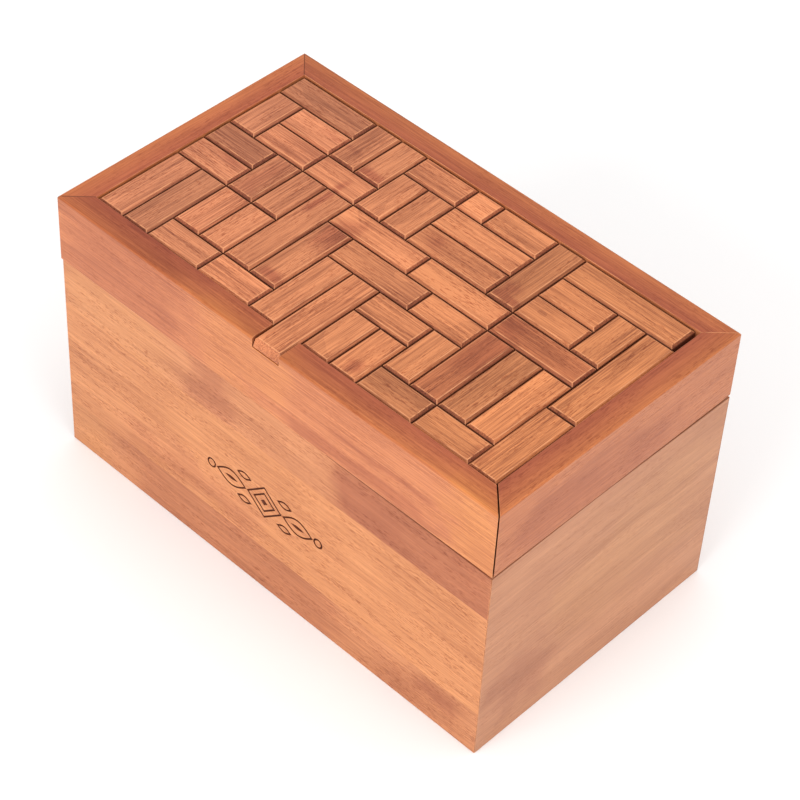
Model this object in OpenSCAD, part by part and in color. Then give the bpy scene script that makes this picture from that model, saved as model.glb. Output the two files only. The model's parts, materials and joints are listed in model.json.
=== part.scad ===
// A wooden puzzle box. A mitred box with a hinged lid; the lid's top is a mosaic of
// blocks on a square grid. Pulling the key block out through the front rail by one
// cell starts the puzzle, and two latch bars under the lid hook into the front wall.
// Origin: middle of the footprint, on the surface that the box stands on.
// +X is to the right along the box, +Y is towards the hinges, +Z is up.

/* [Mosaic] */
// Side of one grid cell
cell = 13; // [12:0.5:15]
// Gap between neighbouring blocks
block_gap = 0.4; // [0.2:0.1:0.8]
// Chamfer along the top edges of a block
block_chamfer = 1; // [0.5:0.1:1.5]

/* [Lid] */
// Width of each lid rail, seen from above
rail = 10; // [9:0.5:12]
// Height of the lid
lid_h = 30; // [28:1:34]
// Radius of the lid's outer top edge
lid_round = 1; // [0.5:0.5:3]
// Depth of the hollow under the lid
lid_hollow = 5; // [4:0.5:6]
// Height of the notch that the key block passes through
notch_h = 4.6; // [4:0.2:6]

/* [Box] */
// Height of the whole closed box
total_h = 124; // [100:1:140]
// Thickness of the walls
wall = 10; // [9:0.5:12]
// Thickness of the bottom panel
bottom_t = 5; // [4:0.5:8]
// How far the lid stands out past the front and end walls
overhang = 0.4; // [0:0.1:1]
// Gap between the closed lid and the rim
seam = 0.5; // [0.4:0.1:0.6]

/* [Latches] */
// How far a latch bar hangs below the lid's inner panel
latch_drop = 16; // [14:0.5:18]
// How far a latch bar's hook reaches past its stem
hook_reach = 10.5; // [9:0.5:11]

/* [Hinges] */
// Length of a hinge along the box
hinge_l = 34; // [28:1:38]
// Thickness of a hinge leaf
leaf_t = 0.9; // [0.8:0.1:1]
// How deep a leaf reaches into the wall
leaf_w = 9; // [7:0.5:9]
// Outer radius of a knuckle
knuckle_r = 1.8; // [1.6:0.1:2.2]
// Distance from the end of the lid to the nearer end of a hinge
hinge_inset = 26; // [20:1:34]

/* [Hidden] */
cols = 15;
rows = 8;
recess_play = 0.2;      // between the mosaic and the rails, on each side
panel_t = 4;            // thickness of the deck and of the inner panel
groove = 4;             // how far a panel reaches into its groove
slide_gap = 0.2;        // clearance round a sliding piece
knuckle_gap = 0.3;      // between a knuckle and the wood
pin_r = 0.95;
bore_r = 1.0;
knuckles = 5;
knuckle_trim = 0.1;     // taken off each end of a knuckle

// The lid's outline sets the length; the hinge knuckles set the depth
lid_l = cols * cell + 2 * recess_play + 2 * rail;
lid_w = rows * cell + 2 * recess_play + 2 * rail;
depth = lid_w + knuckle_gap + 2 * knuckle_r;
y_front = -depth / 2;
y_back = y_front + lid_w;
y_axis = y_back + knuckle_gap + knuckle_r;
z_seam = total_h - lid_h;
z_rim = z_seam - seam;
z_axis = z_rim + seam / 2;
body_l = lid_l - 2 * overhang;
body_y = y_front + overhang;
body_w = lid_w - overhang;

// Layers of the lid, from its underside up
z_panel = z_seam + lid_hollow;
block_h = 11.8;
block_sink = 0.2;       // how far the blocks lie below the rails' top
z_deck_top = total_h - block_sink - block_h;
z_deck = z_deck_top - panel_t;

// Back left corner of the mosaic grid
grid_x = -cols * cell / 2;
grid_y = y_back - rail - recess_play;

// The key block's thin front part clears the notch, and its shoulder is the stop
key_travel = cell;
tongue_h = notch_h - block_sink - slide_gap;
key_col = 7;
key_row = 5;
key_inset = 0.3;        // its front end lies this far inside the rail's face
key_bevel = 1.5;        // how far back the bevel on its front end reaches
key_nose = 1;           // height of the front end under the bevel

// The latch bars slide forward by one cell, from free to hooked
latch_travel = cell;
latch_w = 9.6;
latch_l = 34;
head_w = 12.4;          // the wider head that holds a bar in its slot
head_h = 4;
slot_play = 0.4;
slot_end = 3.4;         // from the stem's square end to the slot's round end
slot_front = 0.6;       // from the front rail's inner face to the slot
latch_stem_y = y_front + rail + slot_front + slot_end + latch_travel;
latch_tip_y = latch_stem_y - hook_reach;
latch_x = cols * cell / 2 - cell / 2;
hook_h = 8;
z_latch = z_panel - latch_drop;
mortise_play = 0.8;
mortise_y = latch_tip_y - latch_travel - mortise_play;

// Screws through the hinge leaves
screw_r = 1.1;
screw_head_r = 2;
screw_l = 7;
screw_tip_l = 1.5;
screw_tip_r = 0.2;
screw_play = 0.05;      // between a screw and its hole
cross_l = 2.4;          // the cross slot in a screw's head
cross_w = 0.4;
cross_deep = 0.45;
screw_side = 10.5;      // from the hinge's middle
screw_in = 4.6;         // from the wall's back face
hinge_x = lid_l / 2 - hinge_inset - hinge_l / 2;
leaf_gap = seam / 2 - 0.1;   // from the axis to each closed leaf
leaf_sink = leaf_t + leaf_gap - seam / 2;
pocket_play = 0.1;      // round a leaf in its pocket
SIDES = [-1, 1];

// The mosaic, one entry for each node: its name, then its blocks. A block is
// [column, row, cells along X, cells along Y], counted from the back left corner.
// Twin blocks that lie side by side share a node.
BLOCKS = [
    ["block_a01", [[0, 0, 3, 1]]],
    ["blocks_a04_a05", [[3, 0, 1, 2], [4, 0, 1, 2]]],
    ["block_a06", [[5, 0, 2, 1]]],
    ["block_a08", [[7, 0, 1, 1]]],
    ["block_a09", [[8, 0, 2, 1]]],
    ["block_a11", [[10, 0, 1, 3]]],
    ["block_a12", [[11, 0, 4, 1]]],
    ["block_b01", [[0, 1, 1, 2]]],
    ["blocks_b02_c02", [[1, 1, 2, 1], [1, 2, 2, 1]]],
    ["block_c04", [[3, 2, 2, 1]]],
    ["blocks_b06_b07", [[5, 1, 1, 2], [6, 1, 1, 2]]],
    ["blocks_b08_c08", [[7, 1, 3, 1], [7, 2, 3, 1]]],
    ["blocks_b12_c12", [[11, 1, 2, 1], [11, 2, 2, 1]]],
    ["block_b14", [[13, 1, 1, 2]]],
    ["block_b15", [[14, 1, 1, 4]]],
    ["blocks_d01_e01", [[0, 3, 2, 1], [0, 4, 2, 1]]],
    ["blocks_d03_d04", [[2, 3, 1, 2], [3, 3, 1, 2]]],
    ["block_d05", [[4, 3, 1, 4]]],
    ["block_d06", [[5, 3, 3, 1]]],
    ["block_d09", [[8, 3, 3, 1]]],
    ["block_d12", [[11, 3, 3, 1]]],
    ["block_e06", [[5, 4, 1, 3]]],
    ["block_e07", [[6, 4, 3, 1]]],
    ["block_e10", [[9, 4, 2, 1]]],
    ["block_e12", [[11, 4, 1, 3]]],
    ["block_e13", [[12, 4, 1, 3]]],
    ["block_e14", [[13, 4, 1, 3]]],
    ["block_f01", [[0, 5, 1, 3]]],
    ["block_f02", [[1, 5, 1, 3]]],
    ["blocks_f03_f04", [[2, 5, 1, 2], [3, 5, 1, 2]]],
    ["block_f07", [[6, 5, 1, 3]]],
    ["block_f09", [[8, 5, 2, 1]]],
    ["block_f11", [[10, 5, 1, 2]]],
    ["block_f15", [[14, 5, 1, 3]]],
    ["blocks_g09_g10", [[8, 6, 1, 2], [9, 6, 1, 2]]],
    ["block_h03", [[2, 7, 2, 1]]],
    ["block_h05", [[4, 7, 2, 1]]],
    ["block_h11", [[10, 7, 2, 1]]],
    ["block_h13", [[12, 7, 2, 1]]],
];
// The long block at the back right is cut short, and leaves a gap at its right end
SHORT_BLOCK = [11, 0];
short_by = 1.6;

WALL_COLOUR = [0.80, 0.48, 0.26];
RAIL_COLOUR = [0.66, 0.32, 0.20];
BLOCK_COLOUR = [0.72, 0.43, 0.25];
PANEL_COLOUR = [0.76, 0.44, 0.20];
LATCH_COLOUR = [0.70, 0.30, 0.20];
BRASS_COLOUR = [0.78, 0.65, 0.35];

// ---- Shapes that repeat ----

// A box with its corner at [x, y, z]
module bar(corner, size) {
    translate(corner) cube(size);
}

// A profile drawn in (X, Z), run along +Y by length
module run_along_y(length) {
    translate([0, length, 0]) rotate([90, 0, 0]) linear_extrude(length) children();
}

// A block's outline from one side: a rectangle with its two top corners cut off
module chamfered_side(width, height, near, far) {
    c = block_chamfer;
    polygon([[0, 0], [width, 0], [width, height - c], [width - far, height],
             [near, height], [0, height - c]]);
}

// A block with all four top edges chamfered
module chamfered_block(size) {
    c = block_chamfer;
    intersection() {
        run_along_y(size.y) chamfered_side(size.x, size.z, c, c);
        rotate([90, 0, 90]) linear_extrude(size.x) chamfered_side(size.y, size.z, c, c);
    }
}

// The place of a grid cell's back left corner
function cell_x(col) = grid_x + col * cell;
function cell_y(row) = grid_y - row * cell;

// One block of the mosaic
module mosaic_block(b) {
    cut = [b[0], b[1]] == SHORT_BLOCK ? short_by : 0;
    size = [b[2] * cell - block_gap - cut, b[3] * cell - block_gap, block_h];
    translate([cell_x(b[0]) + block_gap / 2, cell_y(b[1] + b[3]) + block_gap / 2, z_deck_top])
        chamfered_block(size);
}

// The plan of one side of a mitred frame, centred on X with its outside on Y = 0
module mitred_plan(length, width) {
    polygon([[-length / 2, 0], [length / 2, 0],
             [length / 2 - width, width], [-length / 2 + width, width]]);
}

// Puts a side of a frame at the front, back, left or right of a rectangle
module at_front(y) {
    translate([0, y, 0]) children();
}
module at_back(y) {
    translate([0, y, 0]) rotate([0, 0, 180]) children();
}
module at_left(x, y) {
    translate([x, y, 0]) rotate([0, 0, -90]) children();
}
module at_right(x, y) {
    translate([x, y, 0]) rotate([0, 0, 90]) children();
}

// A rail's section, outside on Y = 0: round top edge, two grooves for the panels
module rail_section() {
    difference() {
        union() {
            square([rail, lid_h - lid_round]);
            translate([lid_round, 0]) square([rail - lid_round, lid_h]);
            translate([lid_round, lid_h - lid_round]) circle(r = lid_round, $fn = 48);
        }
        for (z = [z_panel, z_deck])
            translate([rail - groove, z - z_seam]) square([groove + 1, panel_t]);
    }
}

// One mitred rail of the lid
module lid_rail(length) {
    intersection() {
        translate([0, 0, z_seam]) linear_extrude(lid_h) mitred_plan(length, rail);
        translate([-length / 2, 0, z_seam]) rotate([90, 0, 90]) linear_extrude(length) rail_section();
    }
}

// One mitred wall of the box, with a rebate for the bottom panel
module box_wall(length) {
    difference() {
        linear_extrude(z_rim) mitred_plan(length, wall);
        bar([-length / 2, wall / 2, -1], [length, wall, bottom_t + 1]);
    }
}

// A shallow pocket in a wall's or rail's edge for a hinge leaf
module leaf_pocket(side, z, height) {
    bar([side * hinge_x - hinge_l / 2 - pocket_play, y_back - leaf_w - pocket_play, z],
        [hinge_l + 2 * pocket_play, leaf_w + 1, height]);
}

// The places of the two screws of the hinge on one side
module at_screws(side) {
    for (s = SIDES)
        translate([side * hinge_x + s * screw_side, y_back - screw_in, 0]) children();
}

// A countersunk screw, head at Z = 0 and point upwards
module screw() {
    difference() {
        union() {
            cylinder(h = leaf_t, r1 = screw_head_r, r2 = screw_r, $fn = 48);
            cylinder(h = screw_l - screw_tip_l, r = screw_r, $fn = 32);
            translate([0, 0, screw_l - screw_tip_l])
                cylinder(h = screw_tip_l, r1 = screw_r, r2 = screw_tip_r, $fn = 32);
        }
        for (a = [0, 90]) rotate([0, 0, a])
            bar([-cross_l / 2, -cross_w / 2, -1], [cross_l, cross_w, cross_deep + 1]);
    }
}

// The hole that a screw leaves in wood, from the leaf down
module screw_hole() {
    cylinder(h = screw_l + 1, r = screw_r + screw_play, $fn = 32);
}

// The knuckles of one leaf: every second one, from the given start
module knuckle_set(start, radius, extra) {
    pitch = hinge_l / knuckles;
    for (i = [start:2:knuckles - 1])
        translate([-hinge_l / 2 + i * pitch - extra, 0, 0]) rotate([0, 90, 0])
            cylinder(h = pitch + 2 * extra, r = radius, $fn = 48);
}

// A hinge leaf round its pin, with the plate on the lower side of the axis
module hinge_leaf(start) {
    other = 1 - start;
    plate_z = -leaf_t - leaf_gap;
    difference() {
        union() {
            knuckle_set(start, knuckle_r, -knuckle_trim);
            bar([-hinge_l / 2, y_back - y_axis - leaf_w, plate_z],
                [hinge_l, leaf_w + y_axis - y_back, leaf_t]);
        }
        knuckle_set(other, knuckle_r + slide_gap, knuckle_trim);
        translate([-hinge_l, 0, 0]) rotate([0, 90, 0]) cylinder(h = 2 * hinge_l, r = bore_r, $fn = 48);
        for (s = SIDES)
            translate([s * screw_side, y_back - y_axis - screw_in, plate_z - 1]) {
                cylinder(h = leaf_t + 2, r = screw_r + screw_play, $fn = 32);
                translate([0, 0, 1])
                    cylinder(h = leaf_t, r1 = screw_r + screw_play, r2 = screw_head_r + screw_play,
                             $fn = 48);
            }
    }
}

// ---- The box ----

module front_wall() {
    color(WALL_COLOUR) difference() {
        at_front(body_y) box_wall(body_l);
        for (s = SIDES)
            bar([s * latch_x - latch_w / 2 - mortise_play, mortise_y, z_latch - mortise_play],
                [latch_w + 2 * mortise_play, wall, hook_h + 2 * mortise_play]);
    }
}

module rear_wall() {
    color(WALL_COLOUR) difference() {
        at_back(y_back) box_wall(body_l);
        for (s = SIDES) {
            leaf_pocket(s, z_rim - leaf_sink, leaf_t + 1);
            at_screws(s) translate([0, 0, z_axis]) mirror([0, 0, 1]) screw_hole();
        }
    }
}

module left_wall() {
    color(WALL_COLOUR) at_left(-body_l / 2, body_y + body_w / 2) box_wall(body_w);
}

module right_wall() {
    color(WALL_COLOUR) at_right(body_l / 2, body_y + body_w / 2) box_wall(body_w);
}

module bottom_panel() {
    color(PANEL_COLOUR)
        bar([-body_l / 2 + wall / 2, body_y + wall / 2, 0],
            [body_l - wall, body_w - wall, bottom_t]);
}

// ---- The hinges ----

module hinge_base_leaf(side) {
    color(BRASS_COLOUR) translate([side * hinge_x, y_axis, z_axis]) hinge_leaf(0);
}

module hinge_lid_leaf(side) {
    color(BRASS_COLOUR) translate([side * hinge_x, y_axis, z_axis]) mirror([0, 0, 1]) hinge_leaf(1);
}

module hinge_pins() {
    color(BRASS_COLOUR) for (s = SIDES)
        translate([s * hinge_x - hinge_l / 2, y_axis, z_axis]) rotate([0, 90, 0])
            cylinder(h = hinge_l, r = pin_r, $fn = 48);
}

module base_hinge_screws() {
    color(BRASS_COLOUR) for (s = SIDES)
        at_screws(s) translate([0, 0, z_axis - leaf_gap]) mirror([0, 0, 1]) screw();
}

module lid_hinge_screws() {
    color(BRASS_COLOUR) for (s = SIDES)
        at_screws(s) translate([0, 0, z_axis + leaf_gap]) screw();
}

// ---- The lid ----

module lid_front_rail() {
    color(RAIL_COLOUR) difference() {
        at_front(y_front) lid_rail(lid_l);
        bar([-cell / 2, y_front - 1, total_h - notch_h], [cell, rail + 2, notch_h + 1]);
    }
}

module lid_rear_rail() {
    color(RAIL_COLOUR) difference() {
        at_back(y_back) lid_rail(lid_l);
        for (s = SIDES) {
            leaf_pocket(s, z_seam - 1, leaf_sink + 1);
            at_screws(s) translate([0, 0, z_axis]) screw_hole();
        }
    }
}

module lid_left_rail() {
    color(RAIL_COLOUR) at_left(-lid_l / 2, y_front + lid_w / 2) lid_rail(lid_w);
}

module lid_right_rail() {
    color(RAIL_COLOUR) at_right(lid_l / 2, y_front + lid_w / 2) lid_rail(lid_w);
}

// A board held in the rails' grooves
module grooved_board(z) {
    reach = rail - groove;
    bar([-lid_l / 2 + reach, y_front + reach, z], [lid_l - 2 * reach, lid_w - 2 * reach, panel_t]);
}

module lid_deck() {
    color(PANEL_COLOUR) grooved_board(z_deck);
}

// The round-ended slot that a latch bar slides in
module latch_slot(side) {
    r = latch_w / 2 + slot_play;
    near = latch_stem_y - latch_travel - slot_end + r;
    far = latch_stem_y + latch_l + slot_end - r;
    translate([side * latch_x, 0, z_panel - 1]) {
        bar([-r, near, 0], [2 * r, far - near, panel_t + 2]);
        for (y = [near, far]) translate([0, y, 0]) cylinder(h = panel_t + 2, r = r, $fn = 48);
    }
}

module lid_inner_panel() {
    color(PANEL_COLOUR) difference() {
        grooved_board(z_panel);
        for (s = SIDES) latch_slot(s);
    }
}

// ---- The pieces that slide in the lid ----

// The key block: full height behind the front rail, and a thin tongue through its notch
module key_block() {
    width = cell - block_gap;
    back = cell_y(key_row) - block_gap / 2;
    front = y_front + key_inset;
    shoulder = y_front + rail + key_travel + slide_gap;
    top = total_h - block_sink;
    bottom = z_deck_top + slide_gap;
    color(BLOCK_COLOUR) translate([cell_x(key_col) + block_gap / 2, 0, 0]) difference() {
        intersection() {
            translate([0, front, bottom]) run_along_y(back - front)
                chamfered_side(width, top - bottom, block_chamfer, block_chamfer);
            translate([0, front, bottom]) rotate([90, 0, 90]) linear_extrude(width)
                chamfered_side(back - front, top - bottom, 0, block_chamfer);
        }
        bar([-1, front - 1, bottom - 1], [width + 2, shoulder - front + 1, top - tongue_h - bottom + 1]);
        translate([-1, front, top]) rotate([90, 0, 90]) linear_extrude(width + 2)
            polygon([[-1, 1], [key_bevel, 1], [key_bevel, 0],
                     [0, key_nose - tongue_h], [-1, key_nose - tongue_h]]);
    }
}

// A latch bar: a head above the inner panel, a stem through its slot, a hook below
module latch(side) {
    color(LATCH_COLOUR) translate([side * latch_x, 0, 0]) {
        bar([-head_w / 2, latch_stem_y, z_panel + panel_t + slide_gap], [head_w, latch_l, head_h]);
        bar([-latch_w / 2, latch_stem_y, z_latch],
            [latch_w, latch_l, z_panel + panel_t + slide_gap - z_latch]);
        bar([-latch_w / 2, latch_tip_y, z_latch], [latch_w, hook_reach + latch_l, hook_h]);
    }
}

// ---- What is drawn ----

front_wall();
rear_wall();
left_wall();
right_wall();
bottom_panel();
hinge_base_leaf(-1);  // hinge_base_leaf_left
hinge_base_leaf(1);  // hinge_base_leaf_right
hinge_pins();
base_hinge_screws();
lid_front_rail();
lid_rear_rail();
lid_left_rail();
lid_right_rail();
lid_deck();
lid_inner_panel();
hinge_lid_leaf(-1);  // hinge_lid_leaf_left
hinge_lid_leaf(1);  // hinge_lid_leaf_right
lid_hinge_screws();
key_block();
latch(-1);  // latch_left
latch(1);  // latch_right
for (b = BLOCKS)
    color(BLOCK_COLOUR) for (one = b[1]) mosaic_block(one);
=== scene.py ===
"""Wooden puzzle box: the finish of a mitred beech box whose hinged lid carries a block mosaic.

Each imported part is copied, its edges are softened, and the copy gets a wood, brass or steel
finish. Lengths in the settings are in metres; the wood's own coordinates are in millimetres.
"""

import json
import math
import random

import bmesh
import bpy
from bpy.props import FloatProperty, FloatVectorProperty, IntProperty, PointerProperty
from mathutils import Matrix, Vector

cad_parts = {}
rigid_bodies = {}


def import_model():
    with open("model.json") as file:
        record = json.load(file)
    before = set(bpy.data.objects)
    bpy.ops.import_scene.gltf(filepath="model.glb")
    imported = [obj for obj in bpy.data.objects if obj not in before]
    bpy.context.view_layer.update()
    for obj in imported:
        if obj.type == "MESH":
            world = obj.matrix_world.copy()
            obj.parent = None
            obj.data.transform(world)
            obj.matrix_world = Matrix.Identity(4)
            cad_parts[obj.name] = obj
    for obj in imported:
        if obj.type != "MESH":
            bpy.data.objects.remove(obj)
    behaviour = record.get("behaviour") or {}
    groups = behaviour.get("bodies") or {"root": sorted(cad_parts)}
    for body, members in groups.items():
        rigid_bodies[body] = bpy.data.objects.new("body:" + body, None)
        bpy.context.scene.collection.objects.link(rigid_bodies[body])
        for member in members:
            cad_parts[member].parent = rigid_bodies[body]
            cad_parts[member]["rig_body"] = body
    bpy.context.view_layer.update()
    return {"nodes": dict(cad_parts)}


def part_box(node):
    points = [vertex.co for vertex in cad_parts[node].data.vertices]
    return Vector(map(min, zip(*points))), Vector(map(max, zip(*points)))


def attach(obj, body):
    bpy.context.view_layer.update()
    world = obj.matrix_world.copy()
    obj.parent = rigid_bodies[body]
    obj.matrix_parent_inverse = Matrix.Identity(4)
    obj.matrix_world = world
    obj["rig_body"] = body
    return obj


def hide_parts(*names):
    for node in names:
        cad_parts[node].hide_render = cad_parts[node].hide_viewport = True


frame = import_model()

bl_info = {
    "name": "Wooden puzzle box",
    "version": (1, 0, 0),
    "blender": (4, 5, 0),
    "location": "3D View > Sidebar > Puzzle Box",
    "description": "Finishes a wooden puzzle box with a mosaic lid around its packed parts",
    "category": "Object",
}

MM = 0.001
UP = Vector((0, 0, 1))
# Points nearer than this to a plane lie in it
IN_PLANE = 0.01 * MM

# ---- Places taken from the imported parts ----

WALL_LOW, WALL_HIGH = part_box("front_wall")
RAIL_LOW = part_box("lid_front_rail")[0]
RAIL_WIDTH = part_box("lid_left_rail")[1].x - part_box("lid_left_rail")[0].x
RIM = WALL_HIGH.z
SEAM = RAIL_LOW.z - RIM
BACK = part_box("rear_wall")[1].y
HINGE_LOW, HINGE_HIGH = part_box("hinge_base_leaf_right")
HINGE_X = (HINGE_LOW.x + HINGE_HIGH.x) / 2
SCREW_LOW, SCREW_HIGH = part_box("base_hinge_screws")
SCREW_Y = (SCREW_LOW.y + SCREW_HIGH.y) / 2
SCREW_HEAD = (SCREW_HIGH.y - SCREW_LOW.y) / 2
SCREW_SIDE = SCREW_HIGH.x - SCREW_HEAD - HINGE_X
CELL = 13 * MM
GRID_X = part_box("block_a01")[0].x
GRID_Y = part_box("block_a01")[1].y

# ---- Looks ----

# Boards of a wall, by the heights of their glue lines in millimetres
FRONT_GLUE_LINES = (21.9, 72.6)
REAR_GLUE_LINES = (31, 66)
# How far an end rail's front and rear mitres stand open, in millimetres
MITRE_GAPS = {"lid_right_rail": (0.7, 0.0)}
# Share of the end wall's length, from the front, where the gap under the lid is narrowest
RIM_EVEN = 0.42
# Where the gap at the front starts to widen towards the right, and where painted shade starts on its edge
GAP_START = 30 * MM

# Stain patches: middle, half size and softness across and up in millimetres, and strength.
# A positive strength is redder and darker, a negative one is more golden.
FRONT_WALL_PATCHES = (
    ((-28, 83), (10, 11), (6, 1), 0.6),
    ((72, 83), (38, 10.6), (9, 0.3), 0.9),
    ((52, 81), (10, 7), (5, 4), 0.4),
    ((-80, 84), (28, 12), (10, 2), -0.3),
    ((0, 47), (110, 25.3), (1, 0.3), -0.2),
    ((-40, 32), (34, 7), (14, 7), 0.6),
    ((-18, 10), (54, 11.8), (10, 0.3), 0.5),
    ((89, 15), (9, 4), (5, 3), 0.6),
    ((-97, 10), (10, 11.8), (5, 0.3), -0.4),
    ((75, 8), (14, 8), (10, 5), 0.3),
)
FRONT_RAIL_PATCHES = (
    ((-75, 109), (32, 18), (14, 3), 0.5),
    ((-10, 110), (22, 18), (10, 3), -0.5),
    ((63, 107.5), (28, 1.4), (8, 1.5), 0.6),
    ((35, 98.5), (44, 3.4), (10, 2), 0.6),
    ((99, 110), (12, 18), (9, 3), -0.9),
)
END_WALL_PATCHES = (
    ((-42, 24), (16, 14), (10, 9), 0.5),
    ((10, 55), (40, 26), (18, 14), -0.3),
    ((-20, 70), (20, 8), (16, 8), 0.2),
)
END_RAIL_PATCHES = (
    ((-30, 106), (26, 10), (12, 6), 0.5),
    ((15, 104), (14, 8), (8, 6), 0.5),
)
# On the mosaic the second number is the place towards the back
MOSAIC_PATCHES = (
    ((39.6, 14.0), (5.2, 1.4), (1.6, 1.4), 1.4),
    ((-39.1, 26.4), (5.4, 2.4), (1.4, 2.2), 1.1),
    ((-42, 6.0), (1.3, 9), (1.2, 5), 1.2),
    ((36.5, 18.6), (3.2, 4.2), (3, 2.4), 0.9),
    ((3, 18), (3, 3.5), (4, 3), 0.8),
    ((-24.5, -7.5), (5, 9), (2, 6), 0.9),
    ((-24.5, -37.5), (5, 3), (2, 2), 1.0),
    ((50, 4.5), (6, 5), (6, 3), 0.7),
    ((85, -48), (3, 4), (2.5, 2), 0.6),
    ((-80, -3), (5, 3), (4, 2), 0.7),
    ((-65, -4), (3, 10), (2, 4), 0.6),
    ((52.5, -12), (5, 10), (2, 6), 0.6),
    ((27, -48), (3, 3), (2, 2), 0.8),
    ((-60, 32), (10, 1.2), (6, 1), 0.5),
)

# How light each block is; a block that isn't listed is "even"
BLOCK_TONES = {"pale": 1.18, "light": 1.09, "even": 1.0, "dark": 0.86, "red": 0.86}
BLOCK_TONE_LISTS = {
    "pale": "a08 b02 c02 c04 d06 f03 g10 h05",
    "light": "a06 a09 b01 b06 b08 b12 d09 e01 e10 f01 f04 f07 f09 f15 k07 e14",
    "dark": "a01 a11 d01 f02 h11 e13",
    "red": "d12 e12",
}
# Blocks that sit a little aside in their cells, in millimetres
BLOCK_SHIFTS = {"f15": (-0.25, 0), "b15": (0.12, 0), "a12": (-0.1, 0), "f11": (0.1, 0)}
# Length of the key's front end that is rubbed pale
KEY_END = 3 * MM
# The engraved ornament: the height of its middle, and the box round it
ORNAMENT_HEIGHT = 46.3 * MM
ORNAMENT_REACH = 40 * MM
ORNAMENT_LOW, ORNAMENT_HIGH = 30 * MM, 62 * MM


# ---- Settings ----


def colour_setting(name, description, default):
    """A colour setting with its default in linear light."""
    return FloatVectorProperty(
        name=name, description=description, default=default,
        subtype="COLOR", size=3, min=0, max=1,
    )


def length_setting(name, description, default):
    """A length setting in metres."""
    return FloatProperty(
        name=name, description=description, default=default,
        subtype="DISTANCE", unit="LENGTH", min=0, precision=5,
    )


def power_setting(name, description, default):
    """The power of a light, in watts."""
    return FloatProperty(
        name=name, description=description, default=default, unit="POWER", min=0)


class PuzzleBoxSizes(bpy.types.PropertyGroup):
    """Sizes of the finish."""

    wall_edge: length_setting("Wall edge", "Width of the softened edge of walls and rails", 0.3 * MM)
    block_edge: length_setting("Block edge", "Width of the softened edge of a mosaic block", 0.22 * MM)
    metal_edge: length_setting("Metal edge", "Width of the softened edge of hinge leaves", 0.12 * MM)
    unevenness: length_setting(
        "Unevenness", "How far a block's top may lie below its neighbours", 0.12 * MM)
    front_gap: length_setting("Front gap", "Gap under the closed lid at the front", 0.14 * MM)
    corner_gap: length_setting("Corner gap", "How much wider the gap is at the front right", 0.6 * MM)
    flush: length_setting("Flush", "How far the walls reach out to the lid at the front right", 0.34 * MM)
    rear_gap: length_setting("Rear gap", "Gap under the closed lid at the rear", 1.2 * MM)
    groove_width: length_setting("Groove width", "Width of the engraved lines", 0.9 * MM)
    groove_depth: length_setting("Groove depth", "Depth of the engraved lines", 0.6 * MM)
    seed: IntProperty(name="Seed", description="Seed of the small differences between pieces", default=7)


class PuzzleBoxColours(bpy.types.PropertyGroup):
    """Colours of the finish."""

    wall_light: colour_setting("Wall light", "Light bands of the walls", (0.625, 0.256, 0.115))
    wall_deep: colour_setting("Wall deep", "Deep bands of the walls", (0.34, 0.108, 0.042))
    end_light: colour_setting("End light", "Light bands of the end walls", (0.565, 0.258, 0.132))
    end_deep: colour_setting("End deep", "Deep bands of the end walls", (0.31, 0.112, 0.050))
    rail_light: colour_setting("Rail light", "Light bands of the lid's rails", (0.57, 0.205, 0.088))
    rail_deep: colour_setting("Rail deep", "Deep bands of the lid's rails", (0.32, 0.088, 0.036))
    block_light: colour_setting("Block light", "Light bands of the mosaic blocks", (0.675, 0.246, 0.116))
    block_deep: colour_setting("Block deep", "Deep bands of the mosaic blocks", (0.29, 0.084, 0.038))
    panel_light: colour_setting("Panel light", "Light bands of the panels", (0.60, 0.21, 0.07))
    panel_deep: colour_setting("Panel deep", "Deep bands of the panels", (0.30, 0.08, 0.024))
    latch_light: colour_setting("Latch light", "Light bands of the latch bars", (0.48, 0.15, 0.07))
    latch_deep: colour_setting("Latch deep", "Deep bands of the latch bars", (0.26, 0.06, 0.03))
    # Lighter orange of the softened edges: rubbed wood with a painted highlight
    worn_and_highlight: colour_setting("Worn edge", "Rubbed edges and painted highlights", (0.78, 0.34, 0.155))
    # Colour of the engraved lines, and of the painted shade in slots, gaps and under the lid
    burnt_and_shade: colour_setting("Burnt and shade", "Engraved lines, and painted shade in slots and gaps", (0.15, 0.042, 0.02))
    brass: colour_setting("Brass", "Hinges", (0.82, 0.67, 0.37))
    steel: colour_setting("Steel", "Screws", (0.70, 0.66, 0.62))


class PuzzleBoxStage(bpy.types.PropertyGroup):
    """Floor and light."""

    floor: colour_setting("Floor", "Colour of the floor", (0.97, 0.97, 0.97))
    surroundings: FloatProperty(
        name="Surroundings", description="Strength of the even light from all round",
        default=0.82, min=0)
    front_light: power_setting("Front light", "Power of the light before the box", 13)
    end_light: power_setting("End light", "Power of the light beside the box", 6)
    top_light: power_setting("Top light", "Power of the light over the box", 4)


class PuzzleBoxSettings(bpy.types.PropertyGroup):
    """All settings of the puzzle box."""

    sizes: PointerProperty(type=PuzzleBoxSizes)
    colours: PointerProperty(type=PuzzleBoxColours)
    stage: PointerProperty(type=PuzzleBoxStage)


# ---- Node building ----


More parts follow.
